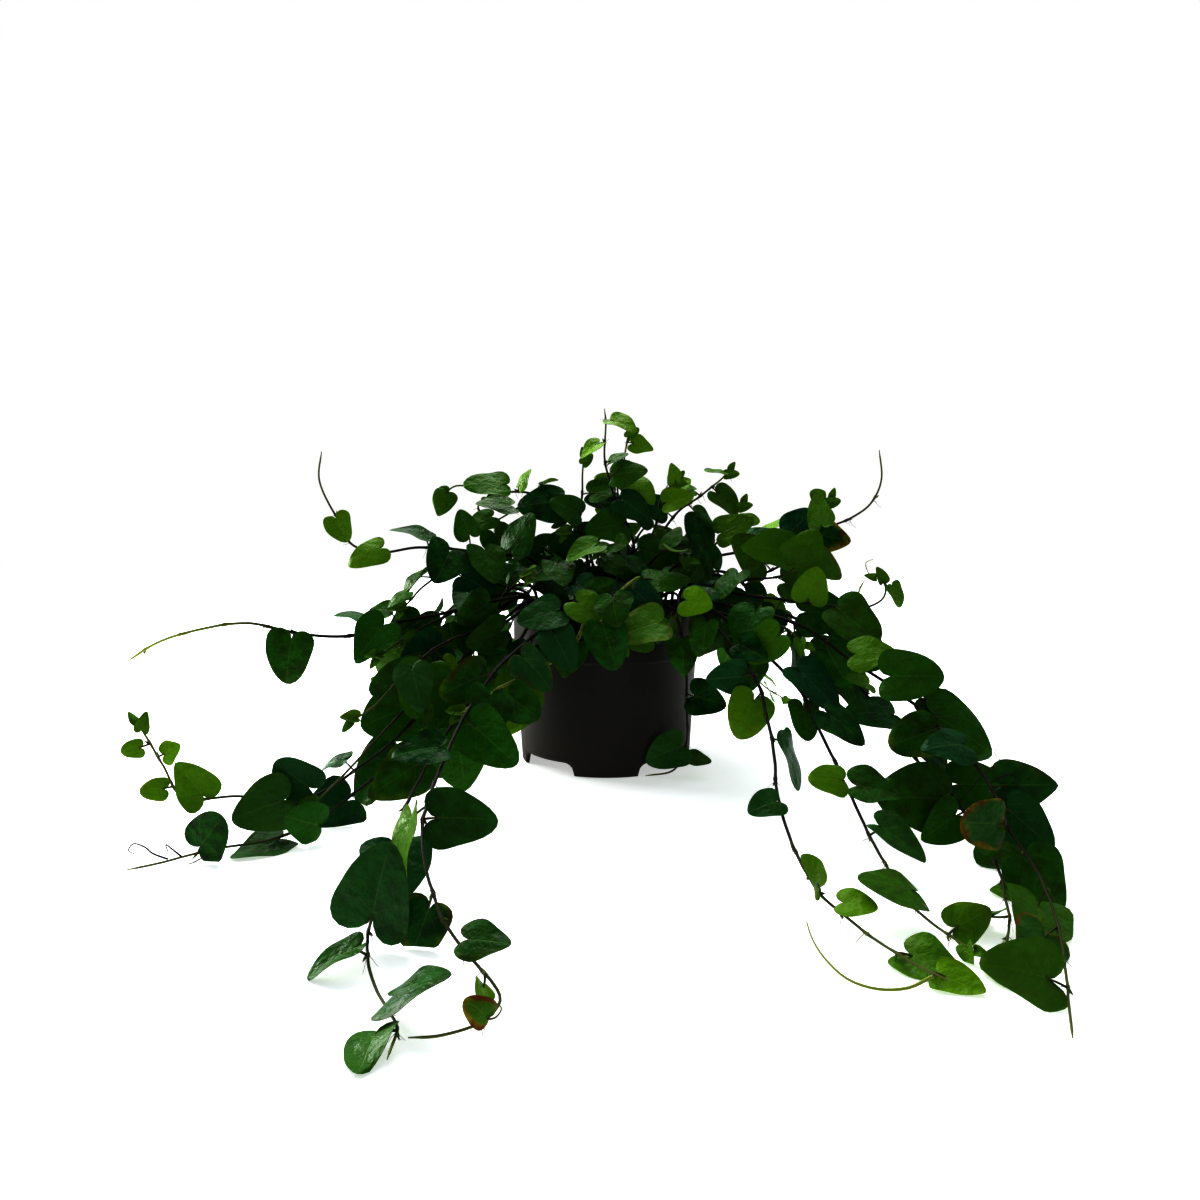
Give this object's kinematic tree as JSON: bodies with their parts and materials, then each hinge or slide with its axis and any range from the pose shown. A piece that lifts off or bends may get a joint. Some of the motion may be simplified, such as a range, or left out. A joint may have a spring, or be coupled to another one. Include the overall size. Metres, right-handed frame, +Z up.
{
  "type": "potted creeping fig",
  "caption": "Creeping fig in a round plastic nursery pot: upright leafy stems above the soil and long thin stems that arch over the rim and trail along the surface.",
  "frame": {"origin": "centre of the pot's underside, on the surface that the pot stands on", "axes": "+Z up, -Y towards the front where the longest stems trail, +X to the right"},
  "size_m": [0.5006, 0.6409, 0.2401],
  "materials": {
    "pot_plastic": "satin",
    "potting_soil": "matte",
    "leafy_stem": "satin"
  },
  "bodies": {
    "root": {"pot": "pot_plastic", "soil": "potting_soil", "left_curl": "leafy_stem", "left_whip": "leafy_stem", "left_low_inner": "leafy_stem", "left_low_outer": "leafy_stem", "left_mid": "leafy_stem", "front_left_long": "leafy_stem", "front_left_outer": "leafy_stem", "left_cluster_upper": "leafy_stem", "left_cluster_lower": "leafy_stem", "left_cluster_back": "leafy_stem", "upper_left_near": "leafy_stem", "upper_left_far": "leafy_stem", "upper_left_side": "leafy_stem", "top_tall": "leafy_stem", "top_left": "leafy_stem", "top_mid": "leafy_stem", "top_young": "leafy_stem", "top_yellow": "leafy_stem", "top_right": "leafy_stem", "top_far_right": "leafy_stem", "right_upper_near": "leafy_stem", "right_tendril": "leafy_stem", "right_upper_far": "leafy_stem", "right_mid": "leafy_stem", "right_long_inner": "leafy_stem", "right_long_mid": "leafy_stem", "right_long_upper": "leafy_stem", "right_heavy": "leafy_stem", "right_short_low": "leafy_stem", "front_right_drop": "leafy_stem", "front_pale": "leafy_stem", "front_left_pale": "leafy_stem", "front_mid": "leafy_stem", "front_right": "leafy_stem", "crown_1": "leafy_stem", "crown_2": "leafy_stem", "crown_3": "leafy_stem", "crown_4": "leafy_stem", "crown_5": "leafy_stem", "crown_6": "leafy_stem", "crown_7": "leafy_stem", "crown_8": "leafy_stem", "crown_9": "leafy_stem", "skirt_1": "leafy_stem", "skirt_2": "leafy_stem", "skirt_3": "leafy_stem", "skirt_4": "leafy_stem", "skirt_5": "leafy_stem", "skirt_6": "leafy_stem", "behind_1": "leafy_stem", "behind_2": "leafy_stem", "behind_3": "leafy_stem", "behind_4": "leafy_stem", "behind_5": "leafy_stem", "behind_6": "leafy_stem", "behind_7": "leafy_stem", "behind_8": "leafy_stem"}
  },
  "joints": []
}
